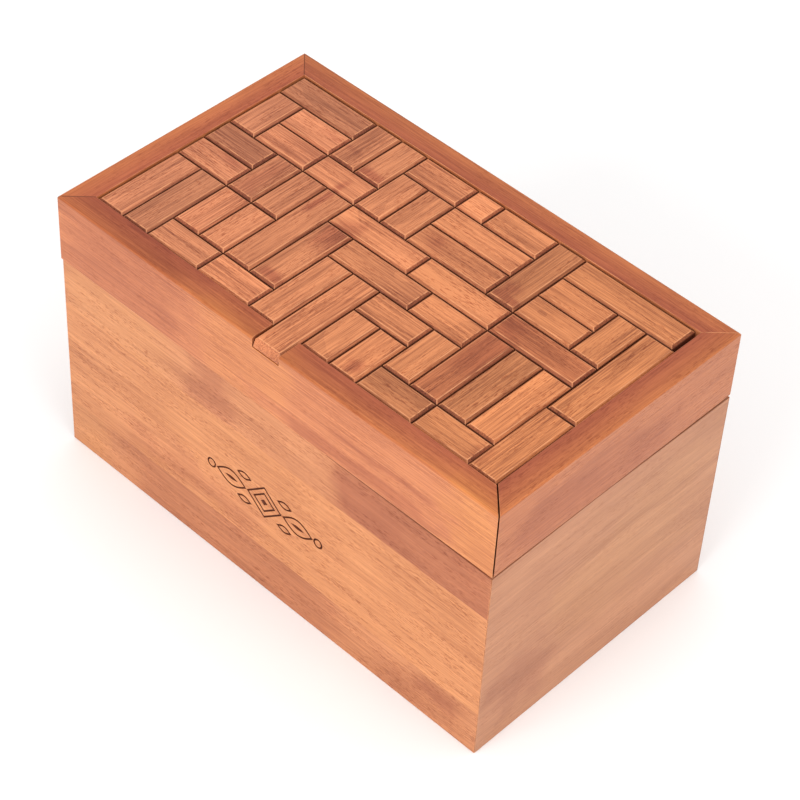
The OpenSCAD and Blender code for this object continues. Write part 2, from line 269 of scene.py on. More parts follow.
class Nodes:
    """Adds nodes to a tree in few words."""

    def __init__(self, tree):
        self.tree = tree

    def add(self, kind, inputs=None, **settings):
        """A node with its settings; an input that is a socket is linked, any other is set."""
        node = self.tree.nodes.new(kind)
        for name, value in settings.items():
            setattr(node, name, value)
        for name, value in (inputs or {}).items():
            if isinstance(value, bpy.types.NodeSocket):
                self.tree.links.new(value, node.inputs[name])
            else:
                node.inputs[name].default_value = value
        return node

    def math(self, operation, first, second=0.0, clamp=False):
        """The result of a sum on two numbers."""
        node = self.add("ShaderNodeMath", {0: first, 1: second}, operation=operation, use_clamp=clamp)
        return node.outputs[0]

    def vector(self, operation, first, second=(0, 0, 0)):
        """The result of a sum on two vectors."""
        node = self.add("ShaderNodeVectorMath", {0: first, 1: second}, operation=operation)
        return node.outputs[0]

    def millimetres(self):
        """The place in the piece's own millimetres."""
        place = self.add("ShaderNodeTexCoord").outputs["Object"]
        return self.vector("MULTIPLY", place, (1000, 1000, 1000))

    def noise(self, place, stretch, detail=2.0, output="Fac"):
        """Noise with its own number of grains per millimetre along each axis."""
        node = self.add(
            "ShaderNodeTexNoise",
            {"Vector": self.vector("MULTIPLY", place, stretch), "Scale": 1.0, "Detail": detail},
        )
        return node.outputs[output]

    def ramp(self, value, low, high):
        """0 below low, 1 above high, and smooth between."""
        node = self.add(
            "ShaderNodeMapRange",
            {"Value": value, "From Min": low, "From Max": high},
            interpolation_type="SMOOTHSTEP",
        )
        return node.outputs["Result"]

    def mix(self, factor, first, second, blend="MIX"):
        """Two colours mixed."""
        node = self.add("ShaderNodeMix", data_type="RGBA", blend_type=blend, clamp_factor=True)
        for index, value in ((0, factor), (6, first), (7, second)):
            if isinstance(value, bpy.types.NodeSocket):
                self.tree.links.new(value, node.inputs[index])
            elif index:
                node.inputs[index].default_value = (*value, 1)
            else:
                node.inputs[index].default_value = value
        return node.outputs[2]

    def attribute(self, name, output="Fac"):
        """A value that the mesh holds."""
        return self.add("ShaderNodeAttribute", attribute_name=name).outputs[output]


def new_group(name, inputs, outputs):
    """A shader node group with its sockets, and the helper, the input node and the output node."""
    group = bpy.data.node_groups.new(name, "ShaderNodeTree")
    for socket, kind, default in inputs:
        made = group.interface.new_socket(socket, in_out="INPUT", socket_type="NodeSocket" + kind)
        if default is not None:
            made.default_value = default
    for socket, kind in outputs:
        group.interface.new_socket(socket, in_out="OUTPUT", socket_type="NodeSocket" + kind)
    nodes = Nodes(group)
    return nodes, nodes.add("NodeGroupInput").outputs, nodes.add("NodeGroupOutput").inputs


def patch_group():
    """One soft-edged patch of stain at a place, as a number."""
    nodes, given, out = new_group(
        "Stain patch",
        [("Place", "Vector", None), ("Middle", "Vector", None), ("Half size", "Vector", None),
         ("Softness", "Vector", None), ("Strength", "Float", 1.0)],
        [("Patch", "Float")],
    )
    wander = nodes.noise(given["Place"], (0.09, 0.09, 0.09), 3, "Color")
    wander = nodes.vector("SUBTRACT", wander, (0.5, 0.5, 0.5))
    wander = nodes.vector("MULTIPLY", wander, given["Softness"])
    place = nodes.vector("ADD", given["Place"], nodes.vector("MULTIPLY", wander, (3, 3, 3)))
    away = nodes.vector("ABSOLUTE", nodes.vector("SUBTRACT", place, given["Middle"]))
    inside = nodes.add(
        "ShaderNodeMapRange", data_type="FLOAT_VECTOR", interpolation_type="SMOOTHSTEP")
    links = nodes.tree.links
    links.new(away, inside.inputs["Vector"])
    links.new(nodes.vector("ADD", given["Half size"], given["Softness"]), inside.inputs[7])
    links.new(nodes.vector("SUBTRACT", given["Half size"], given["Softness"]), inside.inputs[8])
    parts = nodes.add("ShaderNodeSeparateXYZ", {0: inside.outputs["Vector"]}).outputs
    flat = nodes.math("MULTIPLY", parts["X"], nodes.math("MULTIPLY", parts["Y"], parts["Z"]))
    links.new(nodes.math("MULTIPLY", flat, given["Strength"]), out["Patch"])
    return nodes.tree


def beech_group():
    """Stained beech: bands, growth lines, ray flecks, fibres, dark ends, and rubbed edges with a painted
    highlight.
    """
    nodes, given, out = new_group(
        "Stained beech",
        [("Light", "Color", (0.7, 0.3, 0.15, 1)), ("Deep", "Color", (0.4, 0.15, 0.07, 1)),
         ("Worn and highlight", "Color", (0.85, 0.4, 0.2, 1)), ("Burnt and shade", "Color", (0.15, 0.05, 0.02, 1)),
         ("Figure", "Float", 1.0), ("Swirl", "Float", 1.0), ("Fibres", "Float", 1.0),
         ("Flecks", "Float", 1.0),
         ("Wear and highlight", "Float", 1.0), ("End stain", "Float", 1.0), ("Blush", "Float", 0.0)],
        [("Color", "Color"), ("Roughness", "Float"), ("Height", "Float")],
    )
    wood = nodes.attribute("wood", "Vector")
    warp = nodes.noise(wood, (0.011, 0.02, 0.02), 2, "Color")
    warp = nodes.vector("SUBTRACT", warp, (0.5, 0.5, 0.5))
    scaled = nodes.add("ShaderNodeVectorMath", {0: warp, "Scale": given["Swirl"]}, operation="SCALE")
    bent = nodes.vector("ADD", wood, nodes.vector("MULTIPLY", scaled.outputs[0], (0, 22, 22)))
    bands = nodes.noise(bent, (0.006, 0.11, 0.11), 3)
    cloud = nodes.noise(wood, (0.022, 0.05, 0.05), 3)
    rings = nodes.add(
        "ShaderNodeTexWave", {"Vector": bent, "Scale": 0.085, "Distortion": 1.2, "Detail": 1.0},
        wave_type="RINGS", rings_direction="X", wave_profile="SAW").outputs["Fac"]
    fibre = nodes.noise(wood, (0.09, 5.5, 5.5), 3)
    streak = nodes.noise(wood, (0.035, 1.7, 1.7), 3)
    dashes = nodes.ramp(nodes.noise(wood, (0.38, 3.1, 3.1), 1), 0.55, 0.64)
    present = nodes.ramp(nodes.noise(wood, (0.03, 0.2, 0.2), 2), 0.34, 0.62)
    flecks = nodes.math("MULTIPLY", dashes, nodes.math("MULTIPLY", present, given["Flecks"]), True)

    figure = None
    for term, weight in ((bands, 2.0), (cloud, 1.4), (rings, 0.36)):
        weighed = nodes.math("MULTIPLY", nodes.math("SUBTRACT", term, 0.5), weight)
        figure = weighed if figure is None else nodes.math("ADD", figure, weighed)
    figure = nodes.math("MULTIPLY", figure, given["Figure"])
    for term, weight in ((streak, 1.7), (fibre, 1.6)):
        weighed = nodes.math("MULTIPLY", nodes.math("SUBTRACT", term, 0.5), weight)
        figure = nodes.math("ADD", figure, nodes.math("MULTIPLY", weighed, given["Fibres"]))
    tone = nodes.math("ADD", figure, 0.6, True)
    colour = nodes.mix(tone, given["Deep"], given["Light"])

    redder = nodes.mix(1.0, colour, (0.70, 0.55, 0.56), "MULTIPLY")
    colour = nodes.mix(given["Blush"], colour, redder)
    golden = nodes.mix(1.0, colour, (1.12, 1.22, 1.0), "MULTIPLY")
    colour = nodes.mix(nodes.math("MULTIPLY", given["Blush"], -1.0, True), colour, golden)

    shade = nodes.add("ShaderNodeSeparateXYZ", {0: nodes.attribute("shade", "Vector")}).outputs
    orange = nodes.mix(1.0, colour, (1.02, 1.0, 0.72), "MULTIPLY")
    colour = nodes.mix(shade["Y"], colour, orange)
    red = nodes.mix(1.0, colour, (0.90, 0.56, 0.60), "MULTIPLY")
    colour = nodes.mix(shade["Z"], colour, red)
    colour = nodes.vector("MULTIPLY", colour, nodes.add(
        "ShaderNodeCombineXYZ", {0: shade["X"], 1: shade["X"], 2: shade["X"]}).outputs[0])

    dark_flecks = nodes.mix(1.0, colour, (0.66, 0.52, 0.46), "MULTIPLY")
    colour = nodes.mix(flecks, colour, dark_flecks)
    end = nodes.math("MULTIPLY", nodes.attribute("end"), given["End stain"])
    end_colour = nodes.mix(1.0, colour, (0.36, 0.23, 0.21), "MULTIPLY")
    colour = nodes.mix(end, colour, end_colour)
    # The softened edges take a lighter orange: rubbed wood with a painted highlight along them.
    rub_and_highlight = nodes.ramp(nodes.noise(wood, (0.12, 0.4, 0.4), 3), 0.30, 0.62)
    rub_and_highlight = nodes.math("MULTIPLY", nodes.math("MULTIPLY", rub_and_highlight, given["Wear and highlight"]), nodes.attribute("edge"))
    colour = nodes.mix(rub_and_highlight, colour, given["Worn and highlight"])
    # This mask darkens the engraved grooves and mitre edges, and paints shade in the gaps, slots and under
    # the lid.
    burn_and_shade = nodes.attribute("burn_and_shade")
    colour = nodes.mix(burn_and_shade, colour, given["Burnt and shade"])

    rough = nodes.math("ADD", nodes.math("MULTIPLY", fibre, 0.16), 0.34)
    rough = nodes.math("ADD", rough, nodes.math("MULTIPLY", flecks, 0.15))
    rough = nodes.math("ADD", rough, nodes.math("MULTIPLY", end, 0.15), True)
    height = nodes.math("ADD", nodes.math("MULTIPLY", fibre, 0.5), nodes.math("MULTIPLY", streak, 0.35))
    height = nodes.math("SUBTRACT", height, nodes.math("MULTIPLY", flecks, 0.4))
    for socket, value in (("Color", colour), ("Roughness", rough), ("Height", height)):
        nodes.tree.links.new(value, out[socket])
    return nodes.tree


def metal_group():
    """Handled metal: fine scratches along one way, and faint stains."""
    nodes, given, out = new_group(
        "Handled metal",
        [("Metal", "Color", (0.8, 0.6, 0.3, 1)), ("Stain", "Color", (0.5, 0.35, 0.15, 1)),
         ("Scratches", "Float", 1.0)],
        [("Color", "Color"), ("Roughness", "Float"), ("Height", "Float")],
    )
    place = nodes.millimetres()
    scratch = nodes.noise(place, (0.4, 9, 9), 3)
    cloud = nodes.noise(place, (0.5, 0.5, 0.5), 4)
    stain = nodes.ramp(cloud, 0.48, 0.72)
    colour = nodes.mix(stain, given["Metal"], given["Stain"])
    rough = nodes.math("ADD", nodes.math("MULTIPLY", scratch, 0.18), 0.16)
    rough = nodes.math("ADD", rough, nodes.math("MULTIPLY", stain, 0.12), True)
    height = nodes.math("MULTIPLY", scratch, given["Scratches"])
    for socket, value in (("Color", colour), ("Roughness", rough), ("Height", height)):
        nodes.tree.links.new(value, out[socket])
    return nodes.tree


def shared_group(name, build):
    """The node group of that name, built the first time."""
    return bpy.data.node_groups.get(name) or build()


def finish_of(name, group_name, build, values, bump, metallic=0.0, coat=0.0, patches=(), axes="xy"):
    """A material whose colour, roughness and relief come from a shared group."""
    if name in bpy.data.materials:
        return bpy.data.materials[name]
    material = bpy.data.materials.new(name)
    material.use_nodes = True
    tree = material.node_tree
    nodes = Nodes(tree)
    shader = next(n for n in tree.nodes if n.type == "BSDF_PRINCIPLED")
    figure = nodes.add("ShaderNodeGroup", node_tree=shared_group(group_name, build))
    for socket, value in values.items():
        figure.inputs[socket].default_value = value
    if patches:
        tree.links.new(patches_sum(nodes, patches, axes), figure.inputs["Blush"])
    relief = nodes.add("ShaderNodeBump", {"Height": figure.outputs["Height"], "Strength": 0.6})
    relief.inputs["Distance"].default_value = bump
    tree.links.new(figure.outputs["Color"], shader.inputs["Base Color"])
    tree.links.new(figure.outputs["Roughness"], shader.inputs["Roughness"])
    tree.links.new(relief.outputs["Normal"], shader.inputs["Normal"])
    shader.inputs["Metallic"].default_value = metallic
    shader.inputs["Coat Weight"].default_value = coat
    shader.inputs["Coat Roughness"].default_value = 0.3
    shader.inputs["Specular IOR Level"].default_value = 0.25
    return material


def patches_sum(nodes, patches, axes):
    """The sum of the patches, which lie in the plane of the two axes."""
    place = nodes.millimetres()
    unlimited = 1000.0
    total = None
    for middle, half, soft, strength in patches:
        vectors = {"Middle": [0.0] * 3, "Half size": [unlimited] * 3, "Softness": [1.0] * 3}
        for number, axis in enumerate(axes):
            at = "xyz".index(axis)
            vectors["Middle"][at] = middle[number]
            vectors["Half size"][at] = half[number]
            vectors["Softness"][at] = soft[number]
        patch = nodes.add(
            "ShaderNodeGroup", node_tree=shared_group("Stain patch", patch_group))
        nodes.tree.links.new(place, patch.inputs["Place"])
        for socket, value in vectors.items():
            patch.inputs[socket].default_value = value
        patch.inputs["Strength"].default_value = strength
        total = patch.outputs[0] if total is None else nodes.math("ADD", total, patch.outputs[0])
    return total


def beech(context, name, light, deep, figure=1.0, swirl=1.0, flecks=1.0, wear_and_highlight=0.5, end=0.8,
          fibres=1.0, bump=0.06 * MM, coat=0.05, patches=(), axes="xy"):
    """A stained beech finish."""
    colours = context.scene.puzzle_box.colours
    values = {
        "Light": (*light, 1), "Deep": (*deep, 1), "Worn and highlight": (*colours.worn_and_highlight, 1),
        "Burnt and shade": (*colours.burnt_and_shade, 1), "Figure": figure, "Swirl": swirl, "Flecks": flecks,
        "Wear and highlight": wear_and_highlight, "End stain": end, "Fibres": fibres,
    }
    return finish_of(name, "Stained beech", beech_group, values, bump, 0.0, coat, patches, axes)


def metal(name, colour, stain, scratches):
    """A metal finish."""
    values = {"Metal": (*colour, 1), "Stain": (*stain, 1), "Scratches": scratches}
    return finish_of(name, "Handled metal", metal_group, values, 0.01 * MM, 1.0)


# ---- Shapes ----


def mesh_of(name, shape):
    """Writes a shape into a new mesh, and frees the shape."""
    mesh = bpy.data.meshes.new(name)
    shape.to_mesh(mesh)
    shape.free()
    return mesh


def put(name, data):
    """A new object in the scene."""
    thing = bpy.data.objects.new(name, data)
    bpy.context.scene.collection.objects.link(thing)
    return thing


def modified_mesh(thing):
    """A copy of the thing's mesh with its modifiers applied."""
    seen = thing.evaluated_get(bpy.context.evaluated_depsgraph_get())
    return bpy.data.meshes.new_from_object(seen)


def cut_plane(shape, place, normal):
    """Cuts every face that crosses a plane."""
    bmesh.ops.bisect_plane(
        shape, geom=shape.verts[:] + shape.edges[:] + shape.faces[:],
        plane_co=place, plane_no=normal)


def close_block(shape, top, floor):
    """Makes the faces over, under and round two rings of points."""
    shape.faces.new(top)
    shape.faces.new(list(reversed(floor)))
    for i in range(len(top)):
        j = (i + 1) % len(top)
        shape.faces.new((top[i], floor[i], floor[j], top[j]))


def part_shape(node):
    """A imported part's shape, with its doubles merged and its flat faces whole."""
    shape = bmesh.new()
    shape.from_mesh(frame["nodes"][node].data)
    bmesh.ops.remove_doubles(shape, verts=shape.verts, dist=0.001 * MM)
    bmesh.ops.dissolve_limit(
        shape, angle_limit=math.radians(1), verts=shape.verts, edges=shape.edges)
    return shape


def soften(shape, width, segments=2):
    """Rounds the sharp edges, and marks the round faces as edges."""
    edge = shape.faces.layers.float.new("edge")
    for face in shape.faces:
        angles = [e.calc_face_angle(0) for e in face.edges]
        face.smooth = sum(math.radians(2) < a < math.radians(20) for a in angles) > 1
        face.material_index = 0
    sharp = [e for e in shape.edges if e.calc_face_angle(0) > math.radians(28)]
    made = bmesh.ops.bevel(
        shape, geom=sharp, offset=width, offset_type="OFFSET", segments=segments,
        profile=0.5, affect="EDGES", clamp_overlap=True)
    for face in made["faces"]:
        face.smooth = True
        face[edge] = 1.0


def darken_faces(shape, strength, chosen, edges_only=False):
    """Darkens the faces that are chosen, of all or of the softened edges, and returns them: engraved
    grooves, mitre edges, and painted shade in gaps, slots and under the lid.
    """
    burn_and_shade = shape.faces.layers.float["burn_and_shade"]
    edge = shape.faces.layers.float["edge"]
    stained = [face for face in shape.faces if (face[edge] or not edges_only) and chosen(face)]
    for face in stained:
        face[burn_and_shade] = strength
        face[edge] = 0.0
    return stained


def islands(shape):
    """The faces of each separate solid."""
    left = set(shape.faces)
    while left:
        start = left.pop()
        found = [start]
        for face in found:
            for side in face.edges:
                for other in side.link_faces:
                    if other in left:
                        left.remove(other)
                        found.append(other)
        yield found


def lay_wood(shape, faces, along, through, seed, shade=(1.0, 0.3), chamfer_stain_and_shade=0.0):
    """Writes where each corner lies in the wood: along the grain, across it and through it.

    The shade is how light the wood is, how orange and how red; a function gives it by place.
    The chamfer darkening is how dark the chamfers that run along the grain are made: stain, with painted
    shade at the gaps between blocks."""
    wood = shape.loops.layers.float_vector.get("wood") or shape.loops.layers.float_vector.new("wood")
    end = shape.faces.layers.float.get("end") or shape.faces.layers.float.new("end")
    tone = shape.loops.layers.float_vector.get("shade") or shape.loops.layers.float_vector.new("shade")
    across = 3 - along - through
    dice = random.Random(seed)
    start = Vector((dice.uniform(-900, 900), dice.uniform(-14, 14), dice.uniform(26, 64)))
    for face in faces:
        face[end] = max(0.0, abs(face.normal[along]) - 0.35) / 0.65
        # Chamfers are darkened with stain and painted shade, so that the gaps between blocks look dark.
        if chamfer_stain_and_shade and 0.45 < face.normal.z < 0.9:
            face[end] = max(face[end], chamfer_stain_and_shade)
        for corner in face.loops:
            place = corner.vert.co / MM
            corner[wood] = start + Vector((place[along], place[across], place[through]))
            here = shade(face, corner.vert.co) if callable(shade) else shade
            corner[tone] = (*here, 0)[:3]


def layers_first(shape):
    """Makes every layer before any face is picked."""
    shape.loops.layers.float_vector.new("wood")
    shape.loops.layers.float_vector.new("shade")
    shape.faces.layers.float.new("end")
    shape.faces.layers.float.new("burn_and_shade")


def piece_from(shape, name, node, material):
    """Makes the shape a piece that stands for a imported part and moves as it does."""
    mesh = mesh_of(name, shape)
    for leftover in ("custom_normal", "sharp_edge"):
        if leftover in mesh.attributes:
            mesh.attributes.remove(mesh.attributes[leftover])
    mesh.materials.append(material)
    piece = put(name, mesh)
    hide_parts(node)
    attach(piece, frame["nodes"][node]["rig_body"])
    return piece


def cut_from(mesh, cutter_shape):
    """The mesh with the cutter's shape taken out of it."""
    target = put("cut target", mesh)
    cutter_mesh = mesh_of("cutter", cutter_shape)
    cutter = put("cutter", cutter_mesh)
    cut = target.modifiers.new("cut", "BOOLEAN")
    cut.operation = "DIFFERENCE"
    cut.solver = "EXACT"
    cut.object = cutter
    result = modified_mesh(target)
    for thing in (target, cutter):
        bpy.data.objects.remove(thing)
    bpy.data.meshes.remove(cutter_mesh)
    return result


# ---- Engraved ornament ----


def outline_offset(points, distance):
    """A closed outline moved sideways by a distance, with mitred corners."""
    moved = []
    for index, point in enumerate(points):
        before = (point - points[index - 1]).normalized()
        after = (points[(index + 1) % len(points)] - point).normalized()
        normal = Vector((-before.y - after.y, before.x + after.x))
        normal = normal / max(0.35, 1 + before.dot(after))
        moved.append(point + normal * distance)
    return moved


def add_ring(shape, points, width, depth, y_face):
    """A closed groove along an outline, narrower at its floor."""
    proud = 0.5 * MM
    loops = []
    for side, y in ((1, -proud), (-1, -proud), (-0.55, depth), (0.55, depth)):
        row = outline_offset(points, side * width / 2)
        loops.append([shape.verts.new((p.x, y_face + y, p.y)) for p in row])
    count = len(points)
    for first, second in zip(loops, loops[1:] + loops[:1]):
        for i in range(count):
            j = (i + 1) % count
            shape.faces.new((first[i], first[j], second[j], second[i]))


def add_pocket(shape, points, depth, y_face):
    """A pocket with the outline's shape, narrower at its floor."""
    middle = sum(points, Vector((0, 0))) / len(points)
    top = [shape.verts.new((p.x, y_face - 0.5 * MM, p.y)) for p in points]
    floor = [
        shape.verts.new((q.x, y_face + depth, q.y))
        for q in (middle + (p - middle) * 0.7 for p in points)
    ]
    close_block(shape, top, floor)


def leaf_outline(middle, length, height, steps=10):
    """A pointed leaf: two arcs that meet at both tips."""
    points = []
    for i in range(steps):
        t = i / steps
        points.append(Vector((-length / 2 + length * t, height / 2 * math.sin(math.pi * t))))
    for i in range(steps):
        t = i / steps
        points.append(Vector((length / 2 - length * t, -height / 2 * math.sin(math.pi * t))))
    return [Vector(middle) + p for p in points]


def circle_outline(middle, radius, steps=20):
    """A circle."""
    return [
        Vector(middle) + Vector((math.cos(a), math.sin(a))) * radius
        for a in (2 * math.pi * i / steps for i in range(steps))
    ]


def diamond_outline(middle, half_length, half_height):
    """A diamond."""
    return [
        Vector(middle) + Vector(p)
        for p in ((half_length, 0), (0, half_height), (-half_length, 0), (0, -half_height))
    ]


def ornament_cutter(width, depth, y_face):
    """The ornament's grooves: a diamond between leaves and rings."""
    shape = bmesh.new()
    z = ORNAMENT_HEIGHT
    add_ring(shape, diamond_outline((0, z), 8.6 * MM, 7.6 * MM), width, depth, y_face)
    add_ring(shape, diamond_outline((0, z), 5.2 * MM, 4.6 * MM), width, depth, y_face)
    add_pocket(shape, diamond_outline((0, z), 1.9 * MM, 1.7 * MM), depth, y_face)
    for side in (-1, 1):
        add_ring(shape, leaf_outline((side * 17.2 * MM, z), 14.5 * MM, 7.5 * MM), width, depth, y_face)
        add_pocket(shape, leaf_outline((side * 17.2 * MM, z), 7.5 * MM, 1.8 * MM), depth, y_face)
        add_ring(shape, circle_outline((side * 27.6 * MM, z), 1.9 * MM), width, depth, y_face)
        for up in (-1, 1):
            add_ring(
                shape, leaf_outline((side * 10.4 * MM, z + up * 6.2 * MM), 6.5 * MM, 2.9 * MM),
                width, depth, y_face)
    bmesh.ops.recalc_face_normals(shape, faces=shape.faces)
    return shape


# ---- Walls ----


def rim_gap(sizes, place):
    """The gap under the closed lid: it widens to the rear, and to the front right corner."""
    front, rear = WALL_LOW.y, BACK
    start = front + (rear - front) * RIM_EVEN
    if place.y > start:
        share = (place.y - start) / (rear - start)
        return sizes.front_gap + (sizes.rear_gap - sizes.front_gap) * share
    near_front = (start - place.y) / (start - front)
    to_right = max(0.0, (place.x - GAP_START) / (WALL_HIGH.x - GAP_START))
    return sizes.front_gap + sizes.corner_gap * to_right * near_front


def shape_rim(shape, sizes):
    """Moves the rim's points up to the gap that is left under the lid."""
    middle = WALL_LOW.y + (BACK - WALL_LOW.y) * RIM_EVEN
    cut_plane(shape, (0, middle, 0), (0, 1, 0))
    cut_plane(shape, (GAP_START, 0, 0), (1, 0, 0))
    for point in shape.verts:
        if point.co.z > RIM - IN_PLANE:
            point.co.z = RIM + SEAM - rim_gap(sizes, point.co)


def reach_out(shape, distance):
    """Moves the right side out to the lid's, and the front side in step with it towards the right.

    The lid then overhangs at the left and is flush at the right, where the gap under it shows."""
    for point in shape.verts:
        share = (point.co.x - WALL_LOW.x) / (WALL_HIGH.x - WALL_LOW.x)
        if point.co.x > WALL_HIGH.x - IN_PLANE:
            point.co.x += distance
        if point.co.y < WALL_LOW.y + IN_PLANE:
            point.co.y -= distance * share


def shade_rim_edge(shape):
    """Paints shade on the rim's outer edge towards the right, where the gap under the lid shows: a painted
    shadow of the lid.
    """
    def shows(face):
        middle = face.calc_center_median()
        outer = middle.x > WALL_HIGH.x - MM or middle.y < WALL_LOW.y + MM
        return outer and middle.x > GAP_START and middle.z > RIM - MM

    darken_faces(shape, 0.6, shows, edges_only=True)


def split_boards(shape, glue_lines):
    """Cuts the faces along the glue lines, so that each board has its own wood."""
    for height in glue_lines:
        cut_plane(shape, (0, 0, height * MM), UP)


def lay_boards(shape, glue_lines, along, seed, shades):
    """Gives each board between the glue lines its own wood and shade."""
    through = 1 - along
    edges = (-1.0, *(h * MM for h in glue_lines), 1.0)
    for number, (low, high) in enumerate(zip(edges, edges[1:])):
        faces = [f for f in shape.faces if low <= f.calc_center_median().z < high]
        lay_wood(shape, faces, along, through, seed + number, shades[number % len(shades)])


def make_wall(context, node, name, along, glue_lines, seed, shades, material):
    """One wall of the box."""
    sizes = context.scene.puzzle_box.sizes
    shape = part_shape(node)
    layers_first(shape)
    shape_rim(shape, sizes)
    reach_out(shape, sizes.flush)
    soften(shape, sizes.wall_edge)
    shade_rim_edge(shape)
    split_boards(shape, glue_lines)
    if node == "front_wall":
        mesh = mesh_of(name, shape)
        cutter = ornament_cutter(sizes.groove_width, sizes.groove_depth, WALL_LOW.y)
        engraved = cut_from(mesh, cutter)
        shape = bmesh.new()
        shape.from_mesh(engraved)
        bpy.data.meshes.remove(engraved)
        bpy.data.meshes.remove(mesh)
        mark_grooves(shape)
    lay_boards(shape, glue_lines, along, seed, shades)
    return piece_from(shape, name, node, material)


def mark_grooves(shape):
    """Marks the engraved faces to be darkened in full."""
    def engraved(face):
        middle = face.calc_center_median()
        behind_face = WALL_LOW.y + 2 * IN_PLANE < middle.y < WALL_LOW.y + 2 * MM
        in_reach = abs(middle.x) < ORNAMENT_REACH and ORNAMENT_LOW < middle.z < ORNAMENT_HIGH
        return behind_face and in_reach

    for face in darken_faces(shape, 1.0, engraved):
        face.smooth = False


class PUZZLEBOX_OT_walls(bpy.types.Operator):
    """Makes the four walls of the box"""

    bl_idname = "puzzlebox.walls"
    bl_label = "Walls"

    def execute(self, context):
        colours = context.scene.puzzle_box.colours
        seed = context.scene.puzzle_box.sizes.seed
        light, deep = colours.wall_light, colours.wall_deep
        front = beech(context, "Front wall beech", light, deep,
                      figure=0.5, swirl=0.5, flecks=1.0, fibres=0.7, patches=FRONT_WALL_PATCHES, axes="xz")
        ends = beech(context, "End wall beech", colours.end_light, colours.end_deep,
                     figure=0.35, swirl=0.4, flecks=0.4, fibres=0.55, patches=END_WALL_PATCHES, axes="yz")
        rear = beech(context, "Rear wall beech", light, deep, figure=0.6, swirl=0.8, flecks=0.6)
        make_wall(context, "front_wall", "wall_front", 0, FRONT_GLUE_LINES, seed + 10,
                  ((0.98, 0.2), (1.04, 0.3), (0.98, 0.2)), front)
        make_wall(context, "rear_wall", "wall_rear", 0, REAR_GLUE_LINES, seed + 20,
                  ((0.95, 0.2), (1.03, 0.3), (0.9, 0.1)), rear)
        make_wall(context, "left_wall", "wall_left", 1, (48,), seed + 30,
                  ((1.0, 0.1), (0.95, 0.1)), ends)
        make_wall(context, "right_wall", "wall_right", 1, (), seed + 40, ((0.98, 0.0),), ends)
        return {"FINISHED"}


# ---- Panels ----


def make_panel(context, node, name, seed, material):
    """A panel, with painted shade in black on the walls of its slots."""
    sizes = context.scene.puzzle_box.sizes
    shape = part_shape(node)
    layers_first(shape)
    low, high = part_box(node)
    burn_and_shade = shape.faces.layers.float["burn_and_shade"]
    for face in shape.faces:
        middle = face.calc_center_median()
        inside = low.x + MM < middle.x < high.x - MM and low.y + MM < middle.y < high.y - MM
        # Painted shade: the upright walls of the slots are made dark in full.
        if inside and abs(face.normal.z) < 0.5:
            face[burn_and_shade] = 1.0
    soften(shape, sizes.block_edge)
    lay_wood(shape, shape.faces, 0, 2, seed, (1.0, 0.4))
    return piece_from(shape, name, node, material)


class PUZZLEBOX_OT_panels(bpy.types.Operator):
    """Makes the bottom, the deck under the mosaic and the lid's inner panel"""

    bl_idname = "puzzlebox.panels"
    bl_label = "Panels"

    def execute(self, context):
        colours = context.scene.puzzle_box.colours
        seed = context.scene.puzzle_box.sizes.seed
        plywood = beech(context, "Figured panel", colours.panel_light, colours.panel_deep,
                        figure=1.3, swirl=4.5, flecks=0.3, wear_and_highlight=0.2)
        for number, (node, name) in enumerate((
                ("bottom_panel", "panel_bottom"),
                ("lid_deck", "panel_deck"),
                ("lid_inner_panel", "panel_inner"))):
            make_panel(context, node, name, seed + 50 + number, plywood)
        return {"FINISHED"}


# ---- Rails ----


def make_rail(context, node, name, along, seed, shade, top, material):
    """One rail of the lid. The shade is its outer face's, and top is how light its upper face is painted:
    painted shade of the top.
    """
    sizes = context.scene.puzzle_box.sizes
    shape = part_shape(node)
    layers_first(shape)
    if node in MITRE_GAPS:
        open_mitres(shape, *MITRE_GAPS[node])
    soften(shape, sizes.wall_edge * 0.7)
    stain_mitres(shape)
    low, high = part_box(node)
    across = 1 - along
    outside, inside = (low, high) if low[across] < 0 else (high, low)
    width = abs(inside[across] - outside[across])

    def rail_tone_and_top_shade(face, point):
        """Light on the outer face; on the top, painted shade, darker and redder towards the inner part,
        with orange along its outer edge.
        """
        if face.normal.z < 0.1 and abs(face.normal[across]) > 0.5:
            return shade
        inward = abs(point[across] - outside[across]) / width
        if face.normal.z < 0.1 or inward < 0.001:
            return shade
        share = min(1.0, inward * 1.15)
        # The top is painted darker and redder than the outer face: painted shade.
        return (top * (0.98 - 0.22 * share), 1.0 - 0.8 * share, 0.3 + 0.55 * share)

    lay_wood(shape, shape.faces, along, 1 - along, seed, rail_tone_and_top_shade)
    return piece_from(shape, name, node, material)


def stain_mitres(shape):
    """Darkens the edges of the mitres at the left end of the lid."""
    def at_left_mitre(face):
        turned = min(abs(face.normal.x), abs(face.normal.y)) > 0.2 and face.normal.z > 0.3
        return turned and face.calc_center_median().x < RAIL_LOW.x + RAIL_WIDTH

    darken_faces(shape, 0.75, at_left_mitre, edges_only=True)


def open_mitres(shape, front_gap, rear_gap):
    """Draws the ends of an end rail back a little, so that its mitres stand open."""
    middle = (RAIL_LOW.y + BACK) / 2
    for point in shape.verts:
        point.co.y += front_gap * MM if point.co.y < middle else -rear_gap * MM


